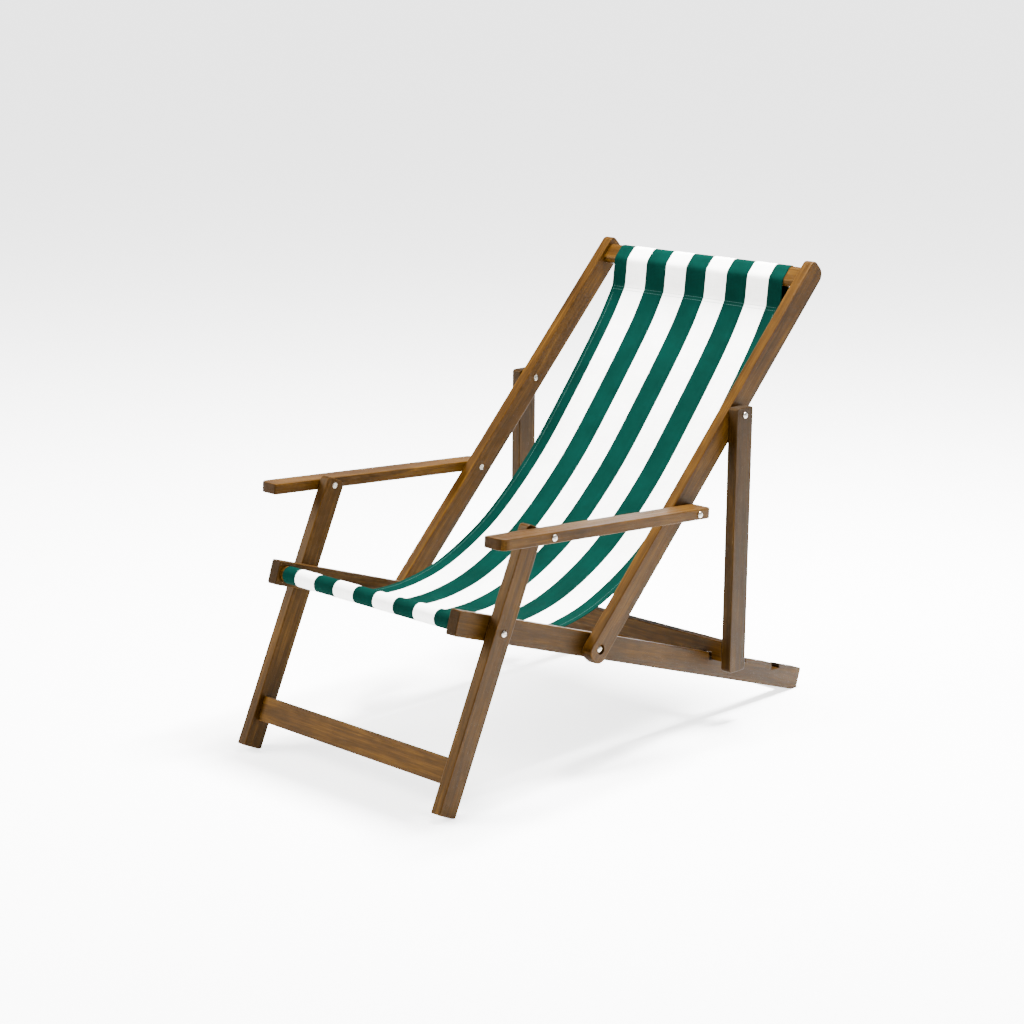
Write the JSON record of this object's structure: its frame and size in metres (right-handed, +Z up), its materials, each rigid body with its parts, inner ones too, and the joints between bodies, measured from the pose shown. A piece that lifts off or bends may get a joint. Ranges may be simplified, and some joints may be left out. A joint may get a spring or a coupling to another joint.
{
  "type": "folding deck chair",
  "caption": "Folding wooden deck chair with arms, a striped canvas sling and a notched rear prop frame that sets the back's slope.",
  "frame": {"origin": "on the floor, under the middle of the chair's outline", "axes": "+Z up, the chair's front faces -Y, +X is the sitter's left"},
  "size_m": [0.642, 1.0406, 0.8673],
  "materials": {
    "wood": "oiled hardwood, satin",
    "wood_dark": "oiled hardwood, darker boards, satin",
    "hardware": "plated",
    "canvas": "woven cotton canvas in broad green and white stripes"
  },
  "bodies": {
    "seat_frame": {"seat_rail_left": "wood", "seat_rail_right": "wood", "front_dowel": "wood", "seat_rear_rail": "wood", "canvas_seat": "canvas"},
    "leg_frame": {"leg_left": "wood", "leg_right": "wood", "leg_stretcher": "wood", "seat_leg_bolt_left": "hardware", "seat_leg_nut_left": "hardware", "seat_leg_washer_left": "hardware", "arm_leg_nut_left": "hardware", "seat_leg_bolt_right": "hardware", "seat_leg_nut_right": "hardware", "seat_leg_washer_right": "hardware", "arm_leg_nut_right": "hardware"},
    "back_frame": {"back_rail_left": "wood", "back_rail_right": "wood", "top_bar": "wood", "canvas_back": "canvas", "seat_back_bolt_left": "hardware", "seat_back_nut_left": "hardware", "seat_back_washer_left": "hardware", "seat_back_bolt_right": "hardware", "seat_back_nut_right": "hardware", "seat_back_washer_right": "hardware"},
    "arm_left": {"arm_left": "wood", "arm_back_bolt_left": "hardware", "arm_back_nut_left": "hardware", "arm_back_washer_left": "hardware", "arm_leg_bolt_left": "hardware"},
    "arm_right": {"arm_right": "wood", "arm_back_bolt_right": "hardware", "arm_back_nut_right": "hardware", "arm_back_washer_right": "hardware", "arm_leg_bolt_right": "hardware"},
    "prop_frame": {"prop_strut_left": "wood_dark", "prop_strut_right": "wood_dark", "prop_crossbar": "wood_dark", "prop_bolt_left": "hardware", "prop_nut_left": "hardware", "prop_washer_left": "hardware", "prop_bolt_right": "hardware", "prop_nut_right": "hardware", "prop_washer_right": "hardware"}
  },
  "joints": [
    {"name": "back_fold", "type": "hinge", "parent": "seat_frame", "child": "back_frame", "pos_m": [0, -0.1099, 0.22216], "axis": [-1, 0, 0], "range_deg": [0, 64], "deforming": ["canvas_back"]},
    {"name": "leg_fold", "type": "hinge", "parent": "seat_frame", "child": "leg_frame", "pos_m": [0, -0.36215, 0.30656], "axis": [-1, 0, 0], "range_deg": [0, 83.6]},
    {"name": "arm_left_fold", "type": "hinge", "parent": "back_frame", "child": "arm_left", "pos_m": [0, 0.107, 0.44365], "axis": [1, 0, 0], "range_deg": [0, 49.9]},
    {"name": "arm_right_fold", "type": "hinge", "parent": "back_frame", "child": "arm_right", "pos_m": [0, 0.107, 0.44365], "axis": [1, 0, 0], "range_deg": [0, 49.9]},
    {"name": "prop_fold", "type": "hinge", "parent": "back_frame", "child": "prop_frame", "pos_m": [0, 0.26372, 0.60369], "axis": [1, 0, 0], "range_deg": [0, 166.6]}
  ],
  "couplings": [
    {"joint": "leg_fold", "follows": "back_fold", "ratio": 1.3042},
    {"joint": "arm_left_fold", "follows": "back_fold", "ratio": 0.7772},
    {"joint": "arm_right_fold", "follows": "back_fold", "ratio": 0.7772},
    {"joint": "prop_fold", "follows": "back_fold", "ratio": 2.6}
  ]
}
